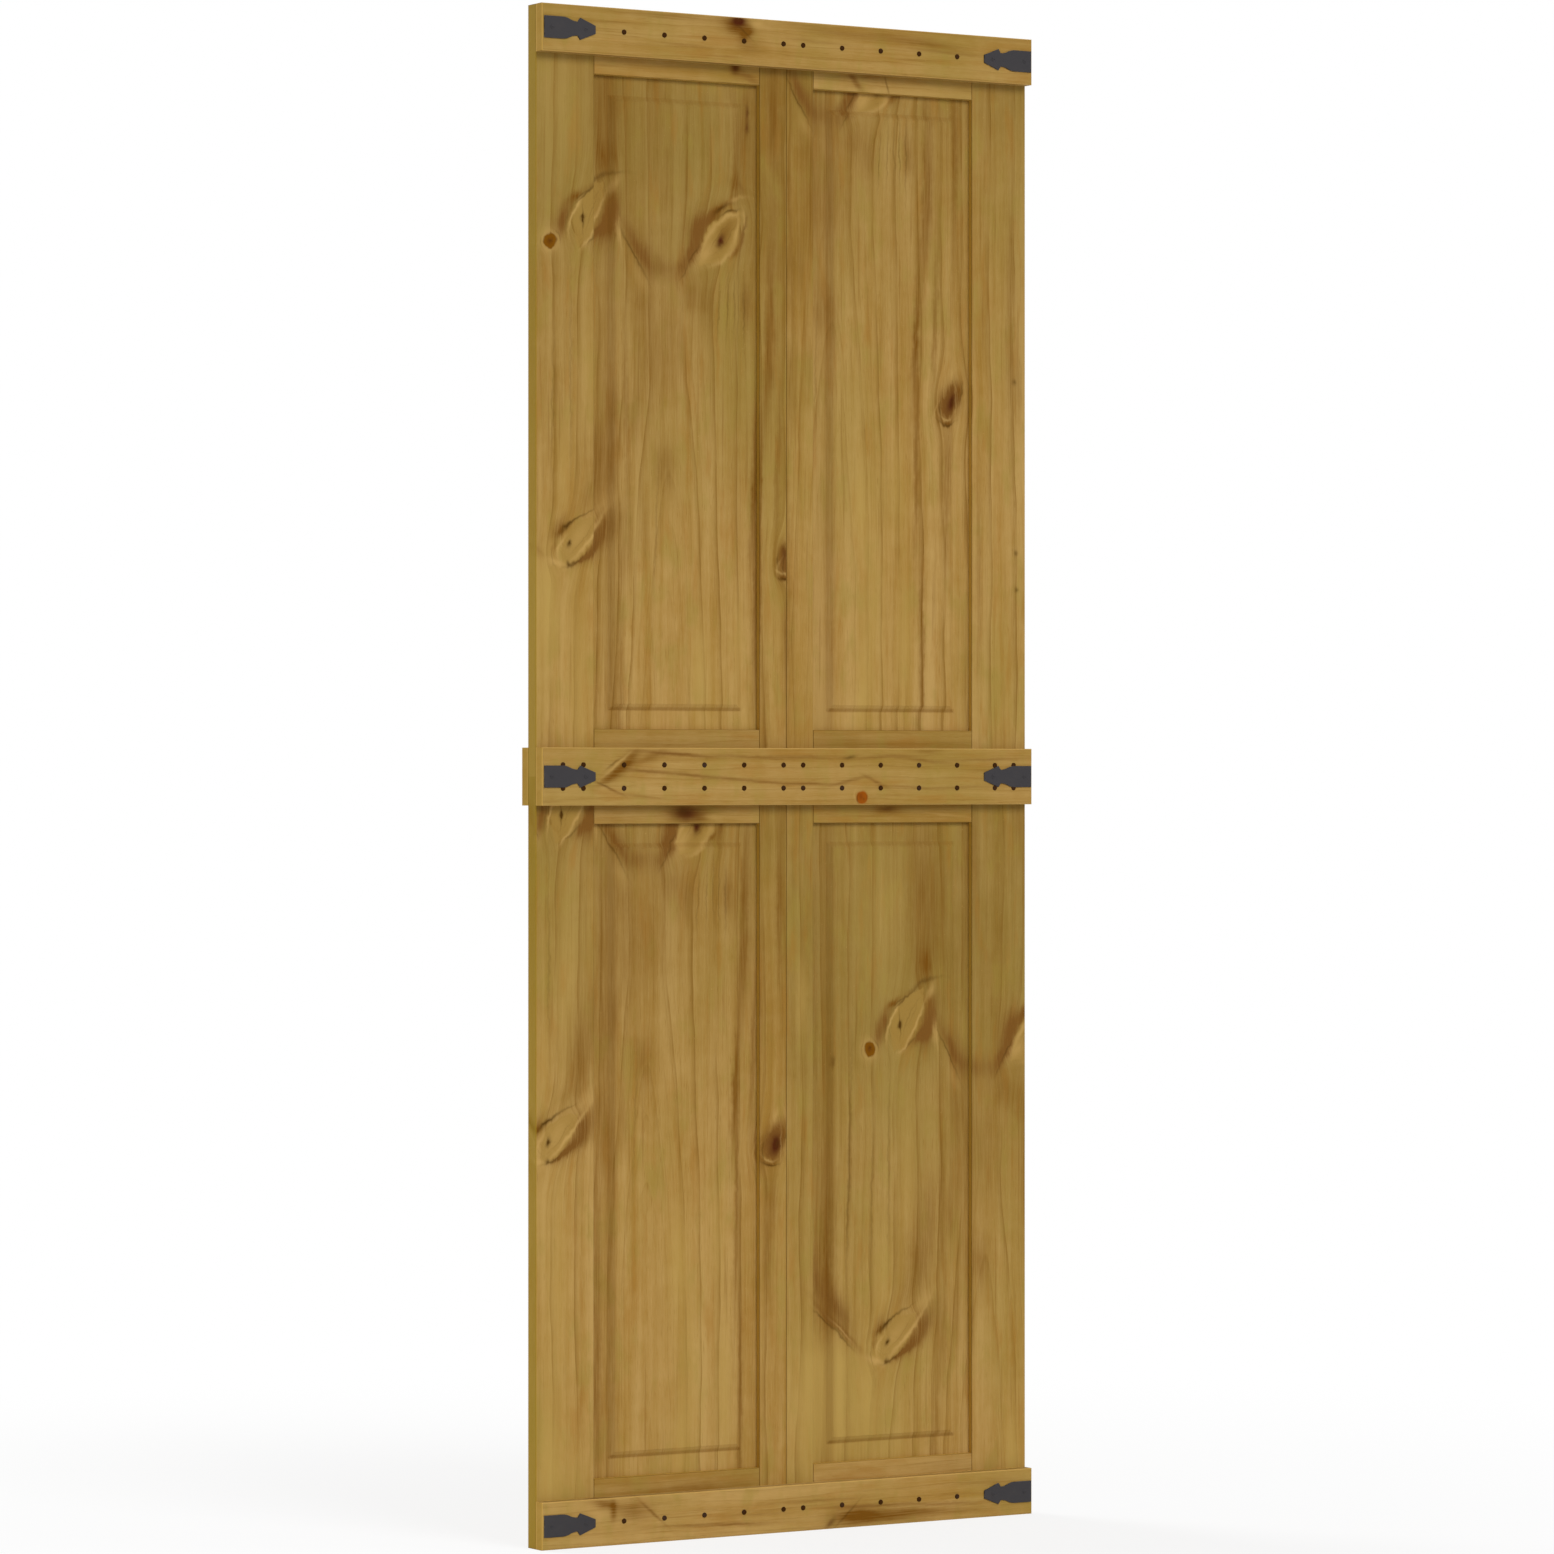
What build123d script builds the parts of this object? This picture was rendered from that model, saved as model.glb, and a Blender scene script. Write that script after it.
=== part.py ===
from build123d import *
import os

# Panelled pine barn door leaf. Millimetres, +X right, +Z up, the front looks along -Y.
# The origin is the middle of the top batten's upper face, which the door hangs from.

# Whole leaf
door_width = 800.0
door_height = 2100.0

# Framed core, made as four quarters of two stiles, two rails and a panel
core_thickness = 22.0
outer_stile_width = 91.0
inner_stile_width = 44.0
end_rail_height = 90.0
middle_rail_height = 65.0
arris = 0.8

# Groove round each opening, which takes the panel's tongue and the rails' stub tenons
groove_depth = 10.0
tongue_thickness = 6.0
side_slip = 0.15
end_float = 1.0

# Raised and fielded panel
field_thickness = 15.0
margin_width = 26.0
slope_width = 9.0

# Battens nailed over the core
batten_thickness = 18.0
end_batten_height = 65.0
middle_batten_height = 79.0
batten_round = 2.5

# Arrow plates at the battens' ends
plate_thickness = 2.0
plate_height = 30.0
butt_length = 28.0
waist_length = 24.0
waist_height = 19.0
barb_length = 4.0
head_length = 24.0
tip_height = 11.0
plate_inset = 2.5
plate_arris = 0.4

# Places worked out from the sizes above
quarter_width = door_width / 2
quarter_height = door_height / 2
opening_width = quarter_width - outer_stile_width - inner_stile_width
opening_height = quarter_height - end_rail_height - middle_rail_height
middle_z = -quarter_height
batten_front_y = -batten_thickness / 2
core_front_y = batten_thickness / 2
core_middle_y = core_front_y + core_thickness / 2
core_back_y = core_front_y + core_thickness
groove_width = tongue_thickness + 2 * side_slip
tongue_reach = groove_depth - end_float
tenon_reach = groove_depth - side_slip

left, right = -1, 1
upper, lower = 1, -1
side_names = {left: "left", right: "right"}
level_names = {upper: "upper", lower: "lower"}
end_names = {upper: "top", lower: "bottom"}


def block(width, depth, height, x, y, z):
    return Pos(x, y, z) * Box(width, depth, height)


def board(width, height, x, z):
    # A core member with its front and back arrises eased
    solid = block(width, core_thickness, height, x, core_middle_y, z)
    faces = solid.faces().sort_by(Axis.Y)
    return chamfer(faces[0].edges() + faces[-1].edges(), arris)


def stile(level, width, edge_x, toward_panel):
    # Full-height upright. edge_x is its panel edge, and toward_panel is +1 where the panel lies to its right.
    center_z = middle_z + level * quarter_height / 2
    solid = board(width, quarter_height, edge_x - toward_panel * width / 2, center_z)
    groove_x = edge_x - toward_panel * groove_depth / 2
    return solid - block(groove_depth, groove_width, quarter_height, groove_x, core_middle_y, center_z)


def rail(center_x, height, edge_z, toward_panel):
    # Crosspiece between the stiles. edge_z is its panel edge, and toward_panel is +1 where the panel lies above.
    solid = board(opening_width, height, center_x, edge_z - toward_panel * height / 2)
    tenon_height = height - groove_depth
    tenon_z = edge_z - toward_panel * (groove_depth + tenon_height / 2)
    tenon_width = opening_width + 2 * tenon_reach
    solid += block(tenon_width, tongue_thickness, tenon_height, center_x, core_middle_y, tenon_z)
    groove_z = edge_z - toward_panel * groove_depth / 2
    return solid - block(opening_width, groove_width, groove_depth, center_x, core_middle_y, groove_z)


def field_face(center_x, center_z, inset, y):
    # Upright rectangle set in from the opening's edges
    flat = Plane(origin=(center_x, y, center_z), x_dir=(1, 0, 0), z_dir=(0, -1, 0))
    return flat * Rectangle(opening_width - 2 * inset, opening_height - 2 * inset)


def raised_panel(center_x, center_z):
    # Thin tongued slab with a raised field on both faces, joined by a sloped band
    tongue_width = opening_width + 2 * tongue_reach
    tongue_height = opening_height + 2 * tongue_reach
    solid = block(tongue_width, tongue_thickness, tongue_height, center_x, core_middle_y, center_z)
    for face_way in (-1, 1):
        margin_y = core_middle_y + face_way * tongue_thickness / 2
        field_y = core_middle_y + face_way * field_thickness / 2
        low = field_face(center_x, center_z, margin_width, margin_y)
        high = field_face(center_x, center_z, margin_width + slope_width, field_y)
        solid += loft([low, high])
    return solid


def quarter(side, level):
    # The five pieces of one framed quarter, by name
    outer_edge_x = side * (quarter_width - outer_stile_width)
    inner_edge_x = side * inner_stile_width
    end_edge_z = middle_z + level * (quarter_height - end_rail_height)
    middle_edge_z = middle_z + level * middle_rail_height
    center_x = (outer_edge_x + inner_edge_x) / 2
    center_z = (end_edge_z + middle_edge_z) / 2
    prefix = f"{level_names[level]}_{side_names[side]}"
    return {
        f"{prefix}_outer_stile": stile(level, outer_stile_width, outer_edge_x, -side),
        f"{prefix}_inner_stile": stile(level, inner_stile_width, inner_edge_x, side),
        f"{prefix}_{end_names[level]}_rail": rail(center_x, end_rail_height, end_edge_z, -level),
        f"{prefix}_middle_rail": rail(center_x, middle_rail_height, middle_edge_z, level),
        f"{prefix}_panel": raised_panel(center_x, center_z),
    }


def batten(height, center_z, center_y, show_way):
    # Full-width board with its exposed arrises rounded. show_way is the way along Y that it looks.
    solid = block(door_width, batten_thickness, height, 0, center_y, center_z)
    shown = solid.faces().sort_by(Axis.Y)[-1 if show_way > 0 else 0]
    return fillet(shown.edges(), batten_round)


def plate_outline():
    # Half of the arrow's edge, butt at x = 0 and tip towards +X, then its mirror image
    half, waist, tip = plate_height / 2, waist_height / 2, tip_height / 2
    waist_start = butt_length
    waist_end = waist_start + waist_length
    shoulder = waist_end + barb_length
    point = shoulder + head_length
    turn = ((waist_start + waist_end) / 2, (half + waist) / 2)
    edge = Curve() + [
        Line((0, 0), (0, half)),
        Line((0, half), (waist_start, half)),
        TangentArc((waist_start, half), turn, tangent=(1, 0)),
        TangentArc((waist_end, waist), turn, tangent=(-1, 0)),
        Line((waist_end, waist), (shoulder, half)),
        Line((shoulder, half), (point, tip)),
        Line((point, tip), (point, 0)),
    ]
    return make_face(edge.edges() + mirror(edge, about=Plane.XZ).edges())


def arrow_plate(side, center_z):
    # Flat plate on the batten's front, with its butt at the door's edge and its tip towards the middle
    butt_x = side * (door_width / 2 - plate_inset)
    seat = Plane(origin=(butt_x, batten_front_y, center_z), x_dir=(-side, 0, 0), z_dir=(0, -1, 0))
    solid = extrude(seat * plate_outline(), plate_thickness)
    return chamfer(solid.faces().sort_by(Axis.Y)[0].edges(), plate_arris)


pieces = {}
for level in (upper, lower):
    for side in (left, right):
        pieces.update(quarter(side, level))

batten_heights = {"top": end_batten_height, "middle": middle_batten_height, "bottom": end_batten_height}
batten_centers = {
    "top": -end_batten_height / 2,
    "middle": middle_z,
    "bottom": -door_height + end_batten_height / 2,
}
for place, height in batten_heights.items():
    pieces[f"{place}_front_batten"] = batten(height, batten_centers[place], 0, -1)
    for side in (left, right):
        pieces[f"{place}_{side_names[side]}_arrow_plate"] = arrow_plate(side, batten_centers[place])
back_batten_y = core_back_y + batten_thickness / 2
pieces["middle_back_batten"] = batten(middle_batten_height, middle_z, back_batten_y, 1)

os.makedirs("parts", exist_ok=True)
for name, solid in pieces.items():
    export_step(solid, f"parts/{name}.step")
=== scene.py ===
import math

import bpy
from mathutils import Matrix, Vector


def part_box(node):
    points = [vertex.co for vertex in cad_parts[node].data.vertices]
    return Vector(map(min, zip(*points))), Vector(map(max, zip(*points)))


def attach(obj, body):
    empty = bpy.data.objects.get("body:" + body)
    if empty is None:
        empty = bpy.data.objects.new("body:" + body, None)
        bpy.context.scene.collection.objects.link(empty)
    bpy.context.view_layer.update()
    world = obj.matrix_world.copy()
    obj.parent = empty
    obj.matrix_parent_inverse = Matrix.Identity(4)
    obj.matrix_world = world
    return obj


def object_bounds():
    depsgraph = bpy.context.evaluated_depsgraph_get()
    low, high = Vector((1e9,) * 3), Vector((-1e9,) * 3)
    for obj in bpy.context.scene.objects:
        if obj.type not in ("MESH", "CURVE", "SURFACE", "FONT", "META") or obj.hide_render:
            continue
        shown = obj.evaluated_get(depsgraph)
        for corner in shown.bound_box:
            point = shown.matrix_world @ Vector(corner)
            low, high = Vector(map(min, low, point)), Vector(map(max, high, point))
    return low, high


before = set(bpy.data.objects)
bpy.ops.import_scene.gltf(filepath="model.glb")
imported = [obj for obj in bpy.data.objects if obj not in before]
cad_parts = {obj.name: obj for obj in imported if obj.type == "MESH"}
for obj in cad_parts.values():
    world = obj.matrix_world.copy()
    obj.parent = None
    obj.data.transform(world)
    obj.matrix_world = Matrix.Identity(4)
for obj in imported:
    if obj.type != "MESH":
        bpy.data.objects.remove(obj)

# Panelled pine barn door leaf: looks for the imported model. Metres, the front looks along -Y, +Z is up.
# Grain and knots are placed in millimetres, with x from the middle of the leaf and z from its mid-height.

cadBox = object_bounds()
mm = 0.001
midHeight = -1.05
halfWidth = 400
halfHeight = 1050


def linear(red, green, blue):
    # a colour as picked on a screen, 0 to 255, as the shader's linear colour
    values = []
    for value in (red, green, blue):
        part = value / 255
        values.append(part / 12.92 if part <= 0.04045 else ((part + 0.055) / 1.055) ** 2.4)
    return (*values, 1.0)


class Wire:
    # one output of a node, so that shader maths reads as a plain expression
    def __init__(self, tree, socket):
        self.tree = tree
        self.socket = socket

    def node(self, kind, settings, sockets, out=0):
        made = self.tree.nodes.new(kind)
        for key, value in settings.items():
            setattr(made, key, value)
        for key, value in sockets.items():
            if isinstance(value, Wire):
                self.tree.links.new(value.socket, made.inputs[key])
            else:
                made.inputs[key].default_value = value
        return Wire(self.tree, made.outputs[out])

    def math(self, operation, *values):
        return self.node("ShaderNodeMath", {"operation": operation}, dict(enumerate(values)))

    def __add__(self, other):
        return self.math("ADD", self, other)

    def __sub__(self, other):
        return self.math("SUBTRACT", self, other)

    def __rsub__(self, other):
        return self.math("SUBTRACT", other, self)

    def __mul__(self, other):
        return self.math("MULTIPLY", self, other)

    def __pow__(self, other):
        return self.math("POWER", self, other)

    def __rpow__(self, other):
        return self.math("POWER", other, self)

    def __abs__(self):
        return self.math("ABSOLUTE", self)

    def plus(self, factor, offset):
        return self.math("MULTIPLY_ADD", self, factor, offset)

    def clamped(self):
        return self.node("ShaderNodeClamp", {}, {"Value": self})

    def ramp(self, low, high):
        # 0 below low, 1 above high, with an even rise between them
        return self.node("ShaderNodeMapRange", {"interpolation_type": "SMOOTHSTEP"},
                         {"Value": self, "From Min": low, "From Max": high})

    def mix(self, mask, colour, blend="MIX"):
        return self.node("ShaderNodeMix", {"data_type": "RGBA", "blend_type": blend},
                         {0: mask, 6: self, 7: colour}, out=2)

    def noise(self, vector, scale, detail=2.0, out=0):
        sockets = {"Vector": vector, "Scale": scale, "Detail": detail}
        return self.node("ShaderNodeTexNoise", {}, sockets, out=out)

    def joined(self, x, y, z):
        return self.node("ShaderNodeCombineXYZ", {}, {0: x, 1: y, 2: z})


def newMaterial(name):
    made = bpy.data.materials.new(name)
    made.use_nodes = True
    tree = made.node_tree
    shader = tree.nodes["Principled BSDF"]
    place = Wire(tree, tree.nodes.new("ShaderNodeTexCoord").outputs["Object"])
    return made, shader, place


def splitPlace(place):
    parts = place.node("ShaderNodeSeparateXYZ", {}, {0: place})
    outputs = parts.socket.node.outputs
    return [Wire(place.tree, outputs[axis]) for axis in range(3)]


def feed(wire, socket):
    wire.tree.links.new(wire.socket, socket)


# Camera, at the photograph's viewing angle
cameraPlan = {"place": (-4.4617, -7.2266, -1.0506), "turn": -31.57, "lens": 141.4, "sensor": 36, "reach": 60}


def placeCamera(plan):
    bpy.ops.object.select_all(action="DESELECT")
    turn = (math.radians(90), 0, math.radians(plan["turn"]))
    bpy.ops.object.camera_add(location=plan["place"], rotation=turn)
    camera = bpy.context.object
    camera.name = "doorCamera"
    camera.data.lens = plan["lens"]
    camera.data.sensor_width = plan["sensor"]
    camera.data.sensor_fit = "HORIZONTAL"
    camera.data.clip_end = plan["reach"]
    bpy.context.scene.camera = camera


placeCamera(cameraPlan)
print("camera placed")


# Light: two soft suns and a white room
lightPlan = {
    "key": {"from": (1.1, -7.5, 4.4), "spread": 30, "power": 1.76},
    "rear": {"from": (-2.4, 7.5, 4.2), "spread": 26, "power": 1.6},
}
roomPlan = {
    "roomLight": 0.38,
    "floorSize": 30,
    "floorColour": (0.9, 0.9, 0.9, 1),
    "floorRoughness": 0.9,
    "shadowShare": 0.2,
    "shadowReach": (0.5, 2.4),
}


def placeLamp(name, plan):
    bpy.ops.object.light_add(type="SUN", location=plan["from"])
    lamp = bpy.context.object
    lamp.name = name
    lamp.rotation_euler = (-Vector(plan["from"])).to_track_quat("-Z", "Y").to_euler()
    lamp.data.angle = math.radians(plan["spread"])
    lamp.data.energy = plan["power"]


def seenDirectly(wire):
    # 1 where the camera, a reflection or glass sees the surface, and 0 where it only lights others
    path = wire.node("ShaderNodeLightPath", {}, {})
    outputs = path.socket.node.outputs
    direct = Wire(wire.tree, outputs["Is Camera Ray"])
    glossy = Wire(wire.tree, outputs["Is Glossy Ray"])
    through = Wire(wire.tree, outputs["Is Transmission Ray"])
    return direct.math("MAXIMUM", direct.math("MAXIMUM", direct, glossy), through)


def buildRoom(plan):
    world = bpy.data.worlds.new("whiteRoom")
    bpy.context.scene.world = world
    world.use_nodes = True
    tree = world.node_tree
    background = tree.nodes["Background"]
    background.inputs["Color"].default_value = (1, 1, 1, 1)
    seen = seenDirectly(Wire(tree, background.outputs[0]))
    feed(seen.plus(1 - plan["roomLight"], plan["roomLight"]), background.inputs["Strength"])

    bpy.ops.object.select_all(action="DESELECT")
    bpy.ops.mesh.primitive_plane_add(size=plan["floorSize"], location=(0, 0, cadBox[0].z))
    floor = bpy.context.object
    floor.name = "floor"
    made, shader, place = newMaterial("palePaper")
    shader.inputs["Base Color"].default_value = plan["floorColour"]
    shader.inputs["Roughness"].default_value = plan["floorRoughness"]
    tree = made.node_tree
    glow = place.node("ShaderNodeEmission", {}, {"Color": (1, 1, 1, 1), "Strength": 1.0})
    matt = Wire(tree, shader.outputs[0])
    distance = place.node("ShaderNodeVectorMath", {"operation": "LENGTH"}, {0: place}, out=1)
    nearDoor = 1 - distance.ramp(*plan["shadowReach"])
    seen = seenDirectly(place) * (1 - nearDoor * plan["shadowShare"])
    surface = place.node("ShaderNodeMixShader", {}, {0: seen, 1: matt, 2: glow})
    feed(surface, tree.nodes["Material Output"].inputs["Surface"])
    floor.data.materials.append(made)


bpy.context.scene.view_settings.view_transform = "Standard"
for lampName, lampPlan in lightPlan.items():
    placeLamp(lampName + "Lamp", lampPlan)
buildRoom(roomPlan)
print("lamps and floor placed")


# Pine. A mark is (x, z, half length, half width, lean, strength, bend): it lies along the lean, in degrees
# to the right of upright, and its ends curl to the right by bend half widths.
pine = {
    "pale": linear(180, 145, 84),
    "amber": linear(156, 118, 52),
    "olive": linear(150, 128, 56),
    "moss": linear(174, 141, 34),
    "honey": linear(154, 107, 40),
    "shade": linear(210, 213, 192),
    "ringLine": linear(120, 84, 24),
    "brown": linear(114, 73, 14),
    "smoke": linear(118, 79, 30),
    "clear": linear(154, 121, 57),
    "resin": linear(121, 75, 3),
    "ember": linear(146, 76, 8),
    "rust": linear(74, 28, 6),
    "cream": linear(186, 150, 86),
    "ink": linear(78, 50, 6),
    "straw": linear(178, 147, 78),
    "seam": linear(82, 58, 18),
    # painted light on the framing's side walls; the battens' ends take it too
    "paintedSideLight": linear(206, 161, 58),
    # painted highlight on the battens' arrises
    "wearAndHighlight": linear(204, 166, 94),
    "roughness": 0.55,
    "specular": 0.04,
}

# One log's figure, measured from the upper eye knot
eyeKnot = {
    "swirl": [(8, 8, 62, 30, 27, 0.85, 0)],
    "brown": [(41, 84, 26, 13, 0, 0.6, 0), (50, 28, 14, 6, 8, 0.75, 0), (-13, 30, 14, 5, 52, 0.95, 0)],
    "smoke": [(-31, 1, 24, 9, 20, 0.95, 0), (47, 6, 32, 11, 20, 1.1, 0), (31, -18, 18, 7, 50, 0.8, 0),
              (46, -15, 22, 12, 10, 0.5, 0), (14, 44, 24, 4, 52, 0.35, 0),
              (-36, -22, 14, 8, 20, 0.4, 0)],
    "leaf": [(9, 9, 52, 22, 28, 0.8, 0.3)],
    "cream": [(-18, 3, 24, 1.9, 20, 0.75, 2), (25, -1, 36, 2.2, 28, 0.65, -0.8),
              (52, 48, 12, 5, 20, 0.5, 0), (-7, 21, 8, 3, 25, 0.5, 0), (56, -14, 16, 3, -5, 0.5, 0),
              (3, -34, 12, 2.4, 45, 0.5, 0)],
    "ink": [(5, 35, 20, 1.5, 52, 0.6, 0), (40, 61, 24, 3, 69, 0.5, 1.2), (-1, 0, 5, 3, 8, 1.0, 0),
            (-1, 0, 17, 1.1, 0, 0.6, 0), (-4, 33, 10, 1.2, 58, 0.5, 1), (16, -25, 15, 1.5, 48, 0.45, 0),
            (-26, -5, 14, 1.4, 10, 0.3, 1), (13, 12, 26, 0.9, 27, 0.22, 4),
            (20, 14, 22, 0.8, 29, 0.18, -3)],
}
ringedKnot = {
    "swirl": [(2, 4, 62, 33, 38, 0.85, 0)],
    "brown": [(24, 78, 20, 9, 0, 0.45, 0), (-14, 30, 20, 7.5, 42, 1.0, 0), (5, 48, 18, 4.5, 60, 0.7, 0),
              (25, -14, 11, 5, 42, 0.9, 0)],
    "smoke": [(-36, 15, 26, 16, 22, 1.0, 0), (-18, 28, 22, 8, 42, 0.5, 0), (42, 8, 22, 2.5, 14, 0.7, 0),
              (-52, -30, 22, 9, 30, 0.4, 0), (38, 73, 14, 5, -25, 0.45, 0)],
    "leaf": [(2, 3, 54, 25, 42, 0.9, 0)],
    "halo": [(7, 9, 25, 10, 32, 0.65, 0)],
    "rust": [(1, 0, 8, 5, 24, 1.0, 0)],
    "cream": [(-24, -20, 20, 9, 42, 0.55, 0), (14, 35, 17, 3.4, 70, 0.6, 1),
              (-17, 8, 27, 3.4, 38, 0.6, 1), (29, 14, 25, 3.8, 14, 0.6, -1.5),
              (6, -26, 25, 3.6, 55, 0.55, -1), (28, 59, 18, 3, 75, 0.4, 1), (44, 31, 16, 2, -8, 0.4, 0),
              (2, 2, 3, 1.6, 24, 0.15, 0)],
    "ink": [(0, -4, 5, 2.4, 30, 0.35, 0), (-43, -22, 16, 1.4, 32, 0.55, 0),
            (1, 45, 15, 2.7, 56, 0.8, 0.8), (16, 42, 14, 1.9, 74, 0.7, 1),
            (46, 21, 14, 1.2, 8, 0.35, -1), (-58, -48, 10, 1.2, 34, 0.35, 0),
            (-4, 6, 22, 0.9, 38, 0.25, 3), (15, 6, 22, 0.9, 34, 0.25, -3),
            (12, -92, 40, 1.2, 2, 0.3, 0), (23, -84, 40, 1.2, 0, 0.3, 0),
            (32, -90, 44, 1.2, 0, 0.35, 0), (-2, -100, 40, 1.2, 3, 0.3, 0),
            (43, -100, 40, 1.4, 0, 0.35, 0)],
}
plumeKnot = {
    "swirl": [(10, 6, 60, 28, 40, 0.85, 0)],
    "brown": [(-15, 19, 12, 6, 45, 0.95, 0), (-24, -2, 12, 4, 8, 0.5, 0)],
    "smoke": [(54, 19, 34, 18, 36, 0.9, 0), (32, -10, 26, 8, 56, 0.7, 0),
              (18, -19, 20, 3.5, 62, 0.7, 0), (-17, 26, 20, 7, 40, 0.4, 0)],
    "leaf": [(12, 7, 48, 20, 39, 0.8, 0.3)],
    "cream": [(31, 8, 46, 3.0, 41, 0.8, -0.8), (57, 54, 22, 9, 45, 0.4, 0),
              (-22, -25, 16, 4.5, 105, 0.75, 0), (-18, -3, 15, 1.8, 20, 0.65, 2),
              (12, 10, 26, 10, 40, 0.4, 0)],
    "ink": [(-6, 25, 13, 2.8, 50, 0.8, 0.3), (9, 36, 15, 1.6, 58, 0.5, 0.4),
            (-2, 0, 5.6, 3.4, 20, 1.0, 0), (6, -25, 14, 1.8, 62, 0.6, -1), (-3, -26, 4, 3, 60, 0.75, 0),
            (28, 45, 14, 1.2, 62, 0.35, 0), (-29, -18, 14, 1.1, -8, 0.3, 2),
            (20, 8, 24, 0.8, 40, 0.2, -2)],
}
deadKnot = {
    "swirl": [(4, 0, 48, 30, 12, 0.85, 0)],
    "brown": [(21, 12, 18, 6, 6, 1.0, 0), (-14, -5, 20, 4.5, 4, 0.6, 0),
              (-2, -30, 14, 3.4, 94, 0.7, -2)],
    "smoke": [(3, -4, 24, 16, 16, 1.5, 0), (11, 18, 15, 9, 18, 0.6, 0)],
    "rust": [(8, 0, 12, 8.5, 14, 1.15, 0), (0, -12, 9, 7, 30, 0.15, 0)],
    "cream": [(9, 38, 9, 4, 10, 0.5, 0), (-5, -25, 10, 1.8, 106, 0.5, -2),
              (-23, -15, 14, 1.6, 10, 0.35, 2), (17, -3, 20, 1.2, 0, 0.5, 0)],
    "ink": [(10, 0, 6, 5, 20, 0.45, 0), (-1, -32, 13, 1.7, 94, 0.8, -2), (26, 13, 15, 1.4, 8, 0.5, -1),
            (-14, -11, 15, 1.3, 0, 0.5, 2)],
}
pinKnot = {
    "swirl": [(0, 0, 22, 16, 0, 0.8, 0)],
    "cream": [(0, 0, 13.5, 13.5, 0, 0.9, 0)],
    "amber": [(0, 0, 5, 4.8, 0, 20, 0)],
    "rust": [(0, 0, 5.4, 5, 0, 0.45, 0)],
    "ink": [(0, 1, 2, 1.8, 0, 0.5, 0), (14, 6, 10, 1.2, -20, 0.35, -2), (-14, -2, 10, 1.0, -5, 0.25, 3),
            (-9.4, 0, 6, 1.0, 0, 0.45, 2.6), (9.4, 0, 6, 1.0, 0, 0.45, -2.6),
            (0, 9.4, 6, 1.0, 90, 0.35, 2.6), (0, -9.4, 6, 1.0, 90, 0.35, -2.6)],
}
seamKnot = {
    "swirl": [(4, 0, 34, 18, 6, 0.8, 0)],
    "brown": [(-2, 3, 18, 9, 12, 0.75, 0), (0, -27, 13, 3.2, 102, 0.7, -1)],
    "smoke": [(1, -4, 17, 8, 6, 0.8, 0)],
    "rust": [(2, 6, 9, 5, 14, 0.42, 0)],
    "cream": [(-4, -20, 8, 1.6, 110, 0.45, -1)],
    "ink": [(-1, -28, 7, 2.0, 108, 0.6, 0), (1, 9, 9, 3, 12, 0.25, 0), (-9, -2, 13, 1.4, 0, 0.45, 1)],
}
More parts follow.
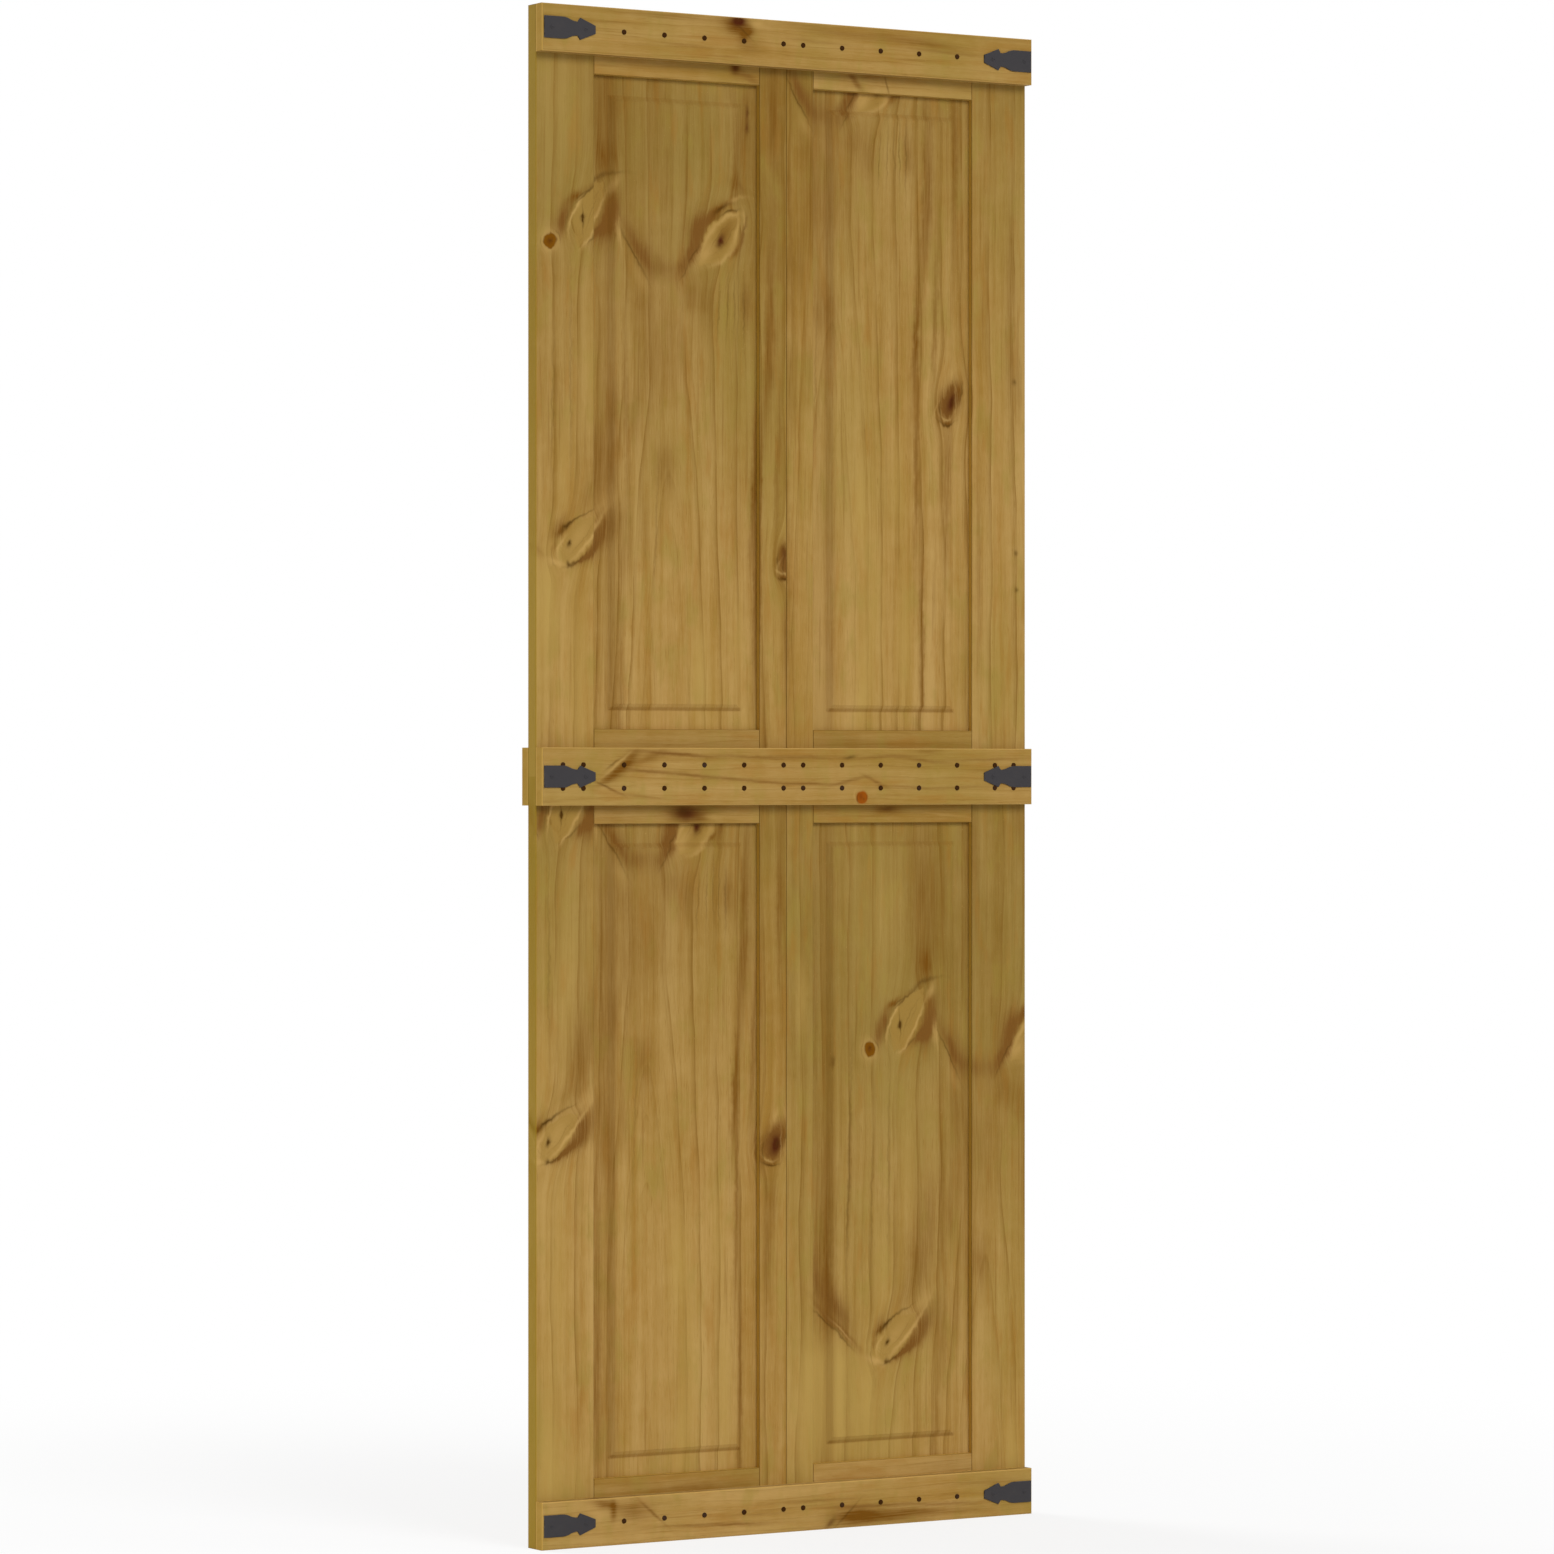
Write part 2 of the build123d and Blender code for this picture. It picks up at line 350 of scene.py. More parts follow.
logFlow = {
    "brown": [(40, 165, 115, 26, 0, 0.4, 0), (42, 180, 120, 36, 0, 0.16, 0),
              (305, -60, 70, 8, 2, 0.12, 0), (32, -335, 64, 22, 5, 0.5, 0),
              (296, -150, 150, 7, 2, 0.58, 0), (303, -180, 80, 8, 2, 0.35, 0),
              (279, -370, 100, 5.5, 3, 0.75, 0), (349, -120, 120, 6, 0, 0.6, 0),
              # the thin brown line at (-138, 0) is painted shade along the left margin of the lower right
              # panel, beside the inner stile
              (-122, -260, 150, 14, 0, 0.28, 0), (-138, 0, 210, 4.5, 0, 0.25, 0),
              (-120, -345, 80, 4.5, 0, 0.6, 0), (304, 165, 80, 10, 0, 0.65, 0),
              (262, 140, 80, 15, 0, 0.5, 0), (246, 90, 60, 6, 0, 0.4, 0),
              (70, -260, 150, 5, -2, 0.35, 0), (266, -110, 32, 9, 0, 0.55, 0),
              (200, -110, 40, 16, 0, 0.35, 0), (62, -640, 180, 7, -1, 0.4, 0),
              (60, -820, 110, 8, 0, 0.4, 0), (30, -230, 130, 15, 0, 0.15, 0),
              (100, -200, 90, 24, 0, 0.22, 0), (116, 105, 80, 40, 0, 0.16, 0),
              (137, -170, 80, 38, 0, 0.25, 0), (281, -530, 150, 4.5, 1, 0.6, 0),
              (290, -800, 180, 4.5, 0, 0.6, 0), (312, -330, 120, 5, 2, 0.5, 0),
              (-104, -420, 48, 5, -46, 0.5, 0), (330, -590, 110, 9, 0, 0.45, 0),
              (438, -330, 170, 8, 0, 0.4, 0), (384, -700, 160, 6, 0, 0.3, 0),
              (-88, -560, 120, 6, 0, 0.2, 0), (172, -95, 26, 16, 0, 0.38, 0),
              (131, -335, 34, 18, 0, 0.42, 0), (70, -450, 60, 10, 0, 0.32, 0),
              # the brown marks at (122, 240) and (197, 285) are painted shade below the middle batten on the
              # lower right outer stile
              (122, 240, 90, 9, 0, 0.4, 0), (197, 285, 40, 10, 0, 0.3, 0),
              (339, -526, 40, 8, 0, 0.35, 0), (450, -430, 50, 8, 0, 0.3, 0),
              (84, -276, 40, 9, 0, 0.3, 0), (96, -105, 34, 16, 0, 0.28, 0),
              (52, -262, 50, 10, 0, 0.3, 0), (99, -420, 50, 9, 0, 0.25, 0),
              (4, -385, 30, 9, 20, 0.25, 0)],
    "straw": [(-120, -535, 90, 62, 0, 0.85, 0), (261, -800, 110, 14, 0, 0.5, 0),
              (-16, -905, 110, 18, 0, 0.75, 0), (22, -925, 70, 12, 0, 0.4, 0),
              (186, -610, 60, 14, 0, 0.5, 0), (191, -880, 70, 12, 0, 0.5, 0),
              (-30, -340, 70, 14, 0, 0.35, 0), (-54, -520, 80, 12, 0, 0.5, 0),
              (-166, 41, 60, 10, 0, 0.45, 0), (251, -575, 70, 12, 0, 0.4, 0),
              (-125, -470, 34, 36, 0, 0.5, 0), (205, -760, 150, 24, 0, 0.4, 0),
              (-8, -640, 130, 20, 0, 0.4, 0), (14, -220, 110, 20, 0, 0.3, 0),
              (-30, 160, 110, 55, 0, 0.24, 0)],
    "smoke": [(84, -31, 38, 9, -30, 0.74, 0), (103, -45, 34, 15, -28, 0.45, 0),
              (130, -62, 34, 15, 90, 0.42, 0), (168, -46, 34, 11, 25, 0.5, 0),
              (182, -38, 16, 9, 20, 0.6, 0), (256, -24, 18, 8, 10, 0.3, 0),
              (-108, -418, 46, 4, -46, 0.5, 0), (-108, -394, 48, 16, -31, 0.85, 0),
              (-136, -352, 60, 7, 0, 0.5, 0)],
    "cream": [(60, -18, 22, 1.6, -5, 0.5, 0), (-98, -427, 26, 1.8, -44, 0.5, 0),
              (92, -78, 20, 8, -28, 0.25, 0)],
    "rust": [(268, 156, 9, 3, 0, 0.6, 0), (268, 136, 8, 3, 0, 0.6, 0)],
    "ink": [(81, -43, 36, 1.5, -31, 0.6, 0), (444, -425, 4, 3, 0, 0.6, 0), (446, -669, 5, 3, 0, 0.6, 0),
            (448, -721, 4, 3, 0, 0.6, 0), (-112, -50, 7, 3, 0, 0.5, 0),
            (-86, -200, 140, 2.2, 1.5, 0.38, 0), (-124, -411, 20, 1.6, -52, 0.6, 0),
            (-100, -434, 26, 1.5, -46, 0.5, 0), (-48, -250, 110, 1.7, 1, 0.25, 0),
            (-20, -200, 130, 1.7, 0, 0.22, 0), (118, -420, 90, 1.6, 2, 0.2, 0)],
}
logKnots = [
    ((0, 0), eyeKnot),
    ((220, -20), ringedKnot),
    ((-20, -446), plumeKnot),
    ((334, -458), deadKnot),
    ((-52, -33), pinKnot),
    ((0, 0), logFlow),
]
# the half knot at the seam between the upper quarters
stileKnots = {"upper_left_inner_stile": [((320, -459), seamKnot)]}

# Where that figure falls on each quarter of the door: the place of its upper eye knot
quarterFigure = {
    "upper_left": (-326, 762),
    "upper_right": (-63, 987),
    "lower_left": (-360, -52),
    "lower_right": (191, -350),
}

# Marks of the crosswise boards, from the middle of the door
railMarks = {
    "brown": [(-83, 981, 10, 9, 0, 0.8, 0), (135, 985, 26, 6, 90, 0.5, 0),
              (166, -46, 24, 7, 90, 0.7, 0), (-160, -51, 38, 15, 94, 0.85, 0),
              (-138, -58, 14, 7, 60, 0.2, 0), (-150, -982, 90, 8, 88, 0.4, 0),
              (75, 51, 45, 12, 90, 0.15, 0), (275, -973, 50, 12, 90, 0.2, 0)],
    "smoke": [(-62, 970, 22, 6, 110, 0.6, 0), (113, 975, 18, 5, -42, 0.8, 0),
              # the smoke marks at (-275, -54) and (265, -54) darken the left end of the lower left middle
              # rail and the right end of the lower right one
              (-275, -54, 45, 12, 90, 0.2, 0), (265, -54, 45, 12, 90, 0.12, 0)],
    "rust": [(-83, 981, 6, 6, 0, 0.7, 0), (-163, -51, 21, 10, 90, 0.95, 0),
             (166, -46, 14, 3, 90, 0.4, 0)],
    "ink": [(-166, -50, 9, 6, 90, 0.5, 0), (166, 972, 14, 1.6, -15, 0.5, 0)],
    "cream": [(264, -54, 45, 2, 95, 0.3, 0), (-120, -56, 14, 4, 100, 0.4, 0),
              (-275, 51, 45, 12, 90, 0.22, 0), (-260, 973, 60, 10, 90, 0.18, 0),
              (250, 973, 50, 10, 90, 0.2, 0)],
}
battenMarks = {
    "brown": [(-92, 1036, 24, 13, 106, 1.0, 0), (-76, 1028, 15, 7, 45, 0.8, 0),
              (-70, 1010, 18, 10, 90, 0.35, 0), (-190, 1044, 80, 5, 90, 0.4, 0),
              (200, 1035, 85, 7, 94, 0.5, 0.5), (60, 1040, 60, 5, 94, 0.3, 0),
              (-262, 24, 24, 9, 44, 0.8, 0), (-228, 28, 24, 6, 70, 0.6, 0),
              (-290, 2, 26, 7, 56, 0.85, 0), (222, 36, 24, 4, 90, 0.45, 0),
              (-302, -993, 20, 6, 104, 0.75, 0), (-289, -1003, 15, 5, 0, 0.65, 0),
              (-256, -1004, 30, 14, 94, 0.6, 0), (100, -1035, 36, 12, 90, 1.0, 0),
              (160, -1037, 70, 10, 91, 0.75, 0), (250, -1036, 80, 5, 92, 0.35, 0),
              (330, -1000, 60, 5, 90, 0.25, 0)],
    "smoke": [(-190, 31, 60, 2.8, 94, 0.85, 0), (-70, 27, 70, 2.5, 92, 0.55, 0),
              (-240, 8, 36, 2.5, 94, 0.64, 0), (-150, 1, 60, 2.5, 94, 0.64, 0),
              (-50, -7, 50, 2.5, 94, 0.59, 0), (-294, -17, 20, 2, 113, 0.8, 0),
              (-245, -27, 40, 2.3, 95, 0.34, 0), (30, 27, 60, 2.5, 91, 0.51, 0),
              (150, 28, 50, 2.5, 88, 0.51, 0.8), (220, 22, 40, 2.5, 95, 0.47, 0),
              (320, 24, 70, 2.4, 89, 0.38, 0), (30, -10, 44, 2.5, 91, 0.51, 0),
              (92, -6, 30, 2.6, 78, 0.55, 0), (136, -7, 20, 2.6, 114, 0.55, 0),
              (190, -15, 44, 2.4, 93, 0.42, 0), (280, -15, 60, 2.3, 89, 0.34, 0),
              (-110, -1033, 95, 2.6, 92, 0.59, 0), (-60, -1022, 60, 2.2, 91, 0.30, 0),
              (120, -1021, 70, 2.4, 91, 0.59, 0), (250, -1026, 80, 2.6, 92, 0.51, 0),
              (40, -1009, 80, 2.2, 90, 0.42, 0), (-228, -1008, 26, 2.2, 131, 0.7, 0),
              (-180, 1006, 40, 2.1, 91, 0.30, 0), (40, 1024, 50, 2.1, 92, 0.30, 0),
              (250, 1022, 60, 2.2, 92, 0.34, 0), (-300, 1029, 30, 2.1, 88, 0.26, 0)],
    "ember": [(113, -29.5, 5, 5, 0, 16, 0)],
    "rust": [(-89, 1044, 12, 8, 90, 1.3, 0), (61, -1042, 9, 4, 50, 0.6, 0),
             (111, -28, 5, 4, 0, 0.35, 0)],
    "cream": [(-60, 1042, 10, 5, 90, 0.65, 0), (-284, 16, 27, 2, 52, 0.6, 0),
              (-306, -16, 10, 4, 90, 0.3, 0), (100, -26, 10, 1.4, 0, 0.4, 3)],
    "ink": [(-89, 1046, 6, 4, 90, 0.35, 0), (-80, 1030, 14, 1.4, 128, 0.5, 0),
            (-288, 18, 14, 1.6, 56, 0.45, 0), (93, 27, 10, 2.4, 80, 0.6, 0),
            (88, -1031, 24, 1.6, 48, 0.5, 0), (104.5, -31, 7, 1.2, 0, 0.6, 2),
            (121.5, -29, 6, 1.1, 0, 0.4, -2), (116, -32, 2.4, 2, 0, 0.35, 0),
            (-304, -12, 12, 1.4, 112, 0.4, 0)],
}
paintOrder = ("straw", "brown", "smoke", "leaf", "halo", "cream", "amber", "ember", "rust", "ink")
paintTone = {"straw": "straw", "brown": "brown", "smoke": "smoke", "leaf": "clear", "halo": "brown",
             "cream": "cream", "amber": "resin", "ember": "ember", "rust": "rust", "ink": "ink"}

# How much further towards amber a board is than the panels and outer stiles: all endings that fit it add up
toneShift = {
    "top_rail": 0.4,
    "middle_rail": 0.25,
    "bottom_rail": 0.25,
    "inner_stile": 0.2,
    "upper_left_top_rail": -0.26,
    "upper_right_top_rail": -0.25,
    "upper_right_inner_stile": 0.12,
    "lower_left_inner_stile": 0.25,
    "lower_right_inner_stile": -0.35,
    "lower_left_bottom_rail": -0.08,
    "lower_right_bottom_rail": -0.28,
    "top_front_batten": 0.1,
    "middle_front_batten": 0.15,
    "bottom_front_batten": -0.1,
    "middle_back_batten": 0.2,
}


def boardTone(name):
    return sum(shift for kind, shift in toneShift.items() if name.endswith(kind))


# A mark is left out of a board that lies further off than this many of its half sizes and millimetres
markReach = 1.9
markSpare = 6


def marksNear(knots, origin, low, high):
    # the marks of a list of knots that reach a board's box, moved to the door's own place
    found = {tone: [] for tone in ("swirl", *paintOrder)}
    for (knotX, knotZ), knot in knots:
        for tone, marks in knot.items():
            for x, z, length, width, lean, strength, bend in marks:
                markX = origin[0] + knotX + x
                markZ = origin[1] + knotZ + z
                turn = math.radians(lean)
                bow = abs(bend) * width
                sine, cosine = math.sin(turn), math.cos(turn)
                reachX = markReach * math.hypot(length * sine, (width + bow) * cosine) + markSpare
                reachZ = markReach * math.hypot(length * cosine, (width + bow) * sine) + markSpare
                nearX = low[0] - reachX < markX < high[0] + reachX
                nearZ = low[1] - reachZ < markZ < high[1] + reachZ
                if nearX and nearZ:
                    found[tone].append((markX, markZ, length, width, turn, strength, bend))
    return found


def markGroup(name, leaf):
    # the mask of one mark as a node group, so that a board's tree stays short
    group = bpy.data.node_groups.new(name, "ShaderNodeTree")
    for key in markSockets:
        group.interface.new_socket(key, in_out="INPUT", socket_type="NodeSocketFloat")
    group.interface.new_socket("Mask", in_out="OUTPUT", socket_type="NodeSocketFloat")
    outputs = group.nodes.new("NodeGroupInput").outputs
    given = {key: Wire(group, outputs[key]) for key in markSockets}
    x, z = given["X"], given["Z"]
    along = x * given["alongX"] + z * given["alongZ"] + given["alongStart"]
    across = x * given["acrossX"] + z * given["acrossZ"] + given["acrossStart"]
    square = along * along
    across = across - square * given["bend"]
    if leaf:
        # pointed at both ends and crisp at the sides, with faint rings inside
        inside = 1 - square - abs(across)
        rings = inside.math("FRACT", inside * 3.4) ** 5.0
        mask = inside.ramp(-0.06, 0.16) * rings.plus(-0.4, 1)
    else:
        mask = fallOff ** across.plus(across, square)
    feed(mask * given["strength"], group.nodes.new("NodeGroupOutput").inputs["Mask"])
    return group


fallOff = 0.3679
markSockets = ("X", "Z", "alongX", "alongZ", "alongStart", "acrossX", "acrossZ", "acrossStart",
               "bend", "strength")
softMask = markGroup("softMark", False)
leafMask = markGroup("leafMark", True)


def softMark(x, z, mark, leaf):
    markX, markZ, length, width, turn, strength, bend = mark
    sine, cosine = math.sin(turn), math.cos(turn)
    return x.node("ShaderNodeGroup", {"node_tree": leafMask if leaf else softMask}, {
        "X": x, "Z": z, "bend": bend, "strength": strength,
        "alongX": sine / length, "alongZ": cosine / length,
        "alongStart": -(markX * sine + markZ * cosine) / length,
        "acrossX": cosine / width, "acrossZ": -sine / width,
        "acrossStart": -(markX * cosine - markZ * sine) / width})


def flowRound(flow, x, z, marks):
    # the grain parts in front of each knot and closes again behind it
    for mark in marks["swirl"]:
        markX, markZ, length, width, turn, strength, bend = mark
        lean = math.tan(turn)
        aside = x - z.plus(lean, markX - markZ * lean)
        flow = flow - aside * softMark(x, z, mark, False)
    return flow


def paintMarks(colour, x, z, marks, fibre):
    for tone in paintOrder:
        total = None
        for mark in marks[tone]:
            one = softMark(x, z, mark, tone == "leaf")
            total = one if total is None else total + one
        if total is not None:
            if tone in ("brown", "smoke"):
                total = total * fibre.plus(1.6, 0.2)
            colour = colour.mix(total, pine[paintTone[tone]])
    return colour


# The framing's core, and how far the panels' tongues are hidden in its grooves
coreMiddle = 20
coreHalf = 11
tongueReach = 9

# What a user would change in the figure: places and sizes in millimetres, shares from 0 to 1
figure = {
    "heart": (137, -325),
    "ringPitch": 24,
    "crossRingPitch": 15,
    "branchLean": (0.4, -0.5),
    "crossSway": 0.35,
    "ripple": (8, 11),
    "fray": 5.5,
    "ringLines": 0.78,
    "flecks": 0.3,
    "olivePatches": 0.4,
    "mossPatches": 0.45,
    "darkStreaks": 0.35,
    "paleStreaks": 0.18,
    "honeyPatches": 0.4,
    "specks": 0.3,
    # painted highlight on the battens' arrises
    "arrisHighlight": 0.85,
    # the next two: painted shade on the panels' left margins and on the fields' top and bottom slopes
    "panelMargin": 0.55,
    "paintedLipShade": 0.34,
    "seams": 0.4,
    # painted light on the framing's side walls
    "paintedWallLight": 0.65,
    "outerEdges": 0.6,
    "endGrain": 0.45,
    "bump": 0.35,
    "bumpDepth": 0.0004,
}


def paintEdges(colour, name, kind, x, y, z, fibre):
    # painted highlight along the battens' arrises, painted shade on the panels' left margins and field
    # slopes, dark seams between the framed boards, painted light on their side walls and olive on the leaf's
    # outer edges
    low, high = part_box(name)
    if kind == "batten":
        fromFace = abs(y - (low.y + high.y) / 2 / mm).plus(-1, (high.y - low.y) / 2 / mm)
        # painted highlight: a pale band along the battens' rounded arrises
        edge = fromFace.ramp(0.15, 0.9) - fromFace.ramp(1.8, 3.2)
        return colour.mix(edge * figure["arrisHighlight"], pine["wearAndHighlight"])
    if name.endswith("panel"):
        fromLeft = x.plus(1, -low.x / mm - tongueReach)
        fromRight = x.plus(-1, high.x / mm - tongueReach)
        fromTop = z.plus(-1, (high.z - midHeight) / mm - tongueReach)
        fromBottom = z.plus(1, -(low.z - midHeight) / mm - tongueReach)
        # painted shade: darker across each panel's left margin up to its field, in the recess beside the
        # stile
        marginShade = fromLeft.ramp(3, 12) * 0.4 + fromLeft.ramp(18, 27) * 0.6 - fromLeft.ramp(32, 44)
        marginShade = marginShade * fibre.plus(0.6, 0.3)
        # painted shade on the field's top and bottom slopes, stronger at the bottom
        lipShade = (fromTop.ramp(25, 28) - fromTop.ramp(30, 34)) * 0.5
        lipShade = lipShade + fromBottom.ramp(24, 27) - fromBottom.ramp(29, 32)
        lipShade = lipShade * fromLeft.ramp(24, 34) * fromRight.ramp(22, 30)
        return colour.mix(marginShade * figure["panelMargin"] + lipShade * figure["paintedLipShade"], pine["brown"])
    fromFace = abs(y - coreMiddle).plus(-1, coreHalf)
    paintedSideLight = fromFace.ramp(0.9, 1.5)
    edge = fromFace.ramp(0.05, 0.3) - paintedSideLight
    outer = abs(x).ramp(halfWidth - 1.2, halfWidth - 0.6)
    colour = colour.mix(edge * figure["seams"], pine["seam"])
    # painted light: the side walls of the framing boards are painted paler, away from the outer edges
    colour = colour.mix(paintedSideLight * (1 - outer) * figure["paintedWallLight"], pine["paintedSideLight"])
    return colour.mix(outer * figure["outerEdges"], pine["moss"])


def pineBoard(name, kind, knots, origin, seed):
    low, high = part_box(name)
    lowPlace = (low.x / mm, (low.z - midHeight) / mm)
    highPlace = (high.x / mm, (high.z - midHeight) / mm)
    crosswise = kind != "upright"
    made, shader, place = newMaterial("pine_" + name)
    sideways, depth, upward = splitPlace(place)
    x = sideways * (1 / mm)
    y = depth * (1 / mm)
    z = upward.plus(1 / mm, -midHeight / mm)
    across, along = (z, x) if crosswise else (x, z)

    # slow wander of the fibres, which bends every line a little, and a finer fray of the marks' outlines
    drift = place.noise(place.joined(across * 0.012 + seed, along * 0.004, y * 0.01), 1.0, 2.0, out=1)
    driftX = splitPlace(drift)[0]
    ripple = place.noise(place.joined(across * 0.05, along * 0.03, y * 0.02 + seed), 1.0, 4.0, out=1)
    rippleX, rippleY, rippleZ = splitPlace(ripple)
    fray = place.noise(place.joined(x * 0.14, z * 0.1, y * 0.1 + seed), 1.0, 3.0, out=1)
    frayX, frayZ = splitPlace(fray)[:2]
    # branches slant through the wood, so a knot comes out a little higher and further left at the back
    sway = figure["crossSway"] if crosswise else 1
    swayX, swayZ = [size * sway for size in figure["ripple"]]
    swayFray = figure["fray"] * sway
    leanX, leanZ = figure["branchLean"]
    inward = y - low.y / mm
    markX = x + rippleX.plus(swayX, -swayX / 2) + frayX.plus(swayFray, -swayFray / 2) + inward * leanX
    markZ = z + rippleY.plus(swayZ, -swayZ / 2) + frayZ.plus(swayFray, -swayFray / 2) + inward * leanZ
    marks = marksNear(knots, origin, lowPlace, highPlace)
    across = flowRound(across, markX, markZ, marks)
    lineAcross = across + driftX.plus(22, -11) + rippleZ.plus(2, -1)

    # growth rings: nested arches round the heart of the log on upright boards, long lines on crosswise ones
    if crosswise:
        ring = (lineAcross + y * 0.6).plus(1 / figure["crossRingPitch"], seed * 1.7)
    else:
        heartX, heartZ = origin[0] + figure["heart"][0], origin[1] + figure["heart"][1]
        fromHeart = lineAcross - heartX
        heart = (fromHeart * fromHeart + y.plus(0.6, 4) ** 2.0 + 200) ** 0.5
        rise = z.plus(0.09, -heartZ * 0.09)
        rise = rise.math("MAXIMUM", rise.math("MINIMUM", rise, 10), -32)
        shell = heart + rise * abs(fromHeart).ramp(15, 120).plus(-0.85, 1)
        ring = (shell.math("MAXIMUM", shell, 0.5) * (1 / figure["ringPitch"])) ** 0.85 + 0.25
    step = ring.math("FRACT", ring)
    late = step ** 8.0 * (1 - step.ramp(0.965, 1.0))
    finer = ring.math("FRACT", ring * 2.7) ** 6.0
    fade = place.noise(place.joined(across * 0.03, along * 0.005, seed * 3.1), 1.0, 2.0)
    fibre = place.noise(place.joined(across * 0.55, along * 0.016, y * 0.5 + seed), 1.0, 3.0)
    if not crosswise:
        late = late * shell.ramp(8, 60).plus(0.6, 0.4)
    lines = late * fade.ramp(0.28, 0.56) * fibre.plus(1.3, 0.4)
    lines = lines + finer * (1 - fade).ramp(0.35, 0.65) * 0.28
    if crosswise:
        lines = lines * 0.4

    # broad amber bands, fine fibres and blotches
    bands = place.noise(place.joined(across * 0.024, along * 0.0016, y * 0.02 + seed), 1.0, 3.0)
    bands = bands.ramp(0.32, 0.7)
    blotch = place.noise(place, 38.0, 3.0)
    stripes = place.noise(place.joined(across * 0.085 + seed, along * 0.002, y * 0.03), 1.0, 2.0)
    hair = place.noise(place.joined(across * 1.7, along * 0.07, y + seed), 1.0, 2.0)
    tone = bands * 0.5 + stripes.plus(1.3, boardTone(name) - 0.5)
    tone = tone + fibre.plus(0.5, -0.25) + blotch.plus(0.65, -0.325) + hair.plus(0.7, -0.35)
    base = {0: tone.clamped(), 6: pine["pale"], 7: pine["amber"]}
    colour = place.node("ShaderNodeMix", {"data_type": "RGBA"}, base, out=2)

    # patches of other tones, darker towards the top of the log, then lines, specks and marks
    greenish = place.noise(place.joined(x * 0.006, z * 0.003, seed), 1.0, 2.0)
    colour = colour.mix(greenish.ramp(0.42, 0.75) * figure["olivePatches"], pine["olive"])
    if crosswise:
        shade = boardTone(name)
    else:
        shade = z.ramp(origin[1] - 110, origin[1] - 20) * 0.2
        shade = shade + z.ramp(origin[1] - 640, origin[1] + 120) * 0.55
    colour = colour.mix(shade, pine["shade"], "MULTIPLY")
    streak = place.noise(place.joined(across * 0.21, along * 0.0055 + seed, y * 0.1), 1.0, 2.0)
    moss = place.noise(place.joined(x * 0.034, z * 0.015, y * 0.02 + seed), 1.0, 4.0)
    colour = colour.mix(moss.ramp(0.5, 0.72) * figure["mossPatches"], pine["olive"])
    colour = colour.mix(streak.ramp(0.58, 0.8) * figure["darkStreaks"], pine["brown"])
    colour = colour.mix((1 - streak).ramp(0.58, 0.8) * figure["paleStreaks"], pine["cream"])
    honey = place.noise(place.joined(across * 0.06 + seed, along * 0.011, y * 0.04), 1.0, 4.0)
    colour = colour.mix(honey.ramp(0.52, 0.74) * figure["honeyPatches"], pine["honey"])
    fleck = place.noise(place.joined(across * 0.9 + seed, along * 0.045, y), 1.0, 1.0).ramp(0.66, 0.76)
    colour = colour.mix(lines * figure["ringLines"] + fleck * figure["flecks"], pine["ringLine"])
    speck = place.noise(place, 330.0, 1.0).ramp(0.7, 0.8)
    colour = colour.mix(speck * figure["specks"], pine["cream"])
    colour = paintMarks(colour, markX, markZ, marks, fibre)
    colour = paintEdges(colour, name, kind, x, y, z, fibre)

    # end grain: dark at the door's top and bottom edges; the battens' sawn ends take the pale colour of the
    # painted light on the framing's side walls
    endPlace = halfWidth if crosswise else halfHeight
    ends = abs(along).ramp(endPlace - 1.2, endPlace - 0.3)
    colour = colour.mix(ends * figure["endGrain"], pine["paintedSideLight" if crosswise else "brown"])

    feed(colour, shader.inputs["Base Color"])
    feed((fibre * 0.16 + lines * 0.1).plus(1, pine["roughness"] - 0.08), shader.inputs["Roughness"])
    shader.inputs["Specular IOR Level"].default_value = pine["specular"]
    height = fibre * 0.6 + late * -0.5
    relief = {"Strength": figure["bump"], "Distance": figure["bumpDepth"], "Height": height}
    feed(place.node("ShaderNodeBump", {}, relief), shader.inputs["Normal"])
    return made


# Each board's noise starts from its count times this step
seedStep = {"crosswise": 2.37, "upright": 0.05}


def dressPine():
    count = 0
    for name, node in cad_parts.items():
        if name.endswith("arrow_plate"):
            continue
        count += 1
        if name.endswith("batten"):
            knots = [((0, 0), battenMarks)] if "front" in name else []
            made = pineBoard(name, "batten", knots, (0, 0), count * seedStep["crosswise"])
        elif name.endswith("rail"):
            made = pineBoard(name, "rail", [((0, 0), railMarks)], (0, 0), count * seedStep["crosswise"])
        else:
            origin = quarterFigure["_".join(name.split("_")[:2])]
            knots = logKnots + stileKnots.get(name, [])
            made = pineBoard(name, "upright", knots, origin, count * seedStep["upright"])
        for slot in node.material_slots:
            slot.material = made
    print("pine on", count, "boards")


dressPine()


# Black iron of the arrow plates, nails and screws. Rubbed wear starts at the height "rubbed" along Y.
iron = {
    "dust": linear(70, 66, 64),
    "wearAndHighlight": linear(112, 108, 108),
    "roughness": 0.5,
    "plate": {"paint": linear(57, 55, 57), "rubbed": -10.94, "specular": 0.12},
    "nail": {"paint": linear(58, 34, 10), "rubbed": -9.3, "specular": 0.02},
}


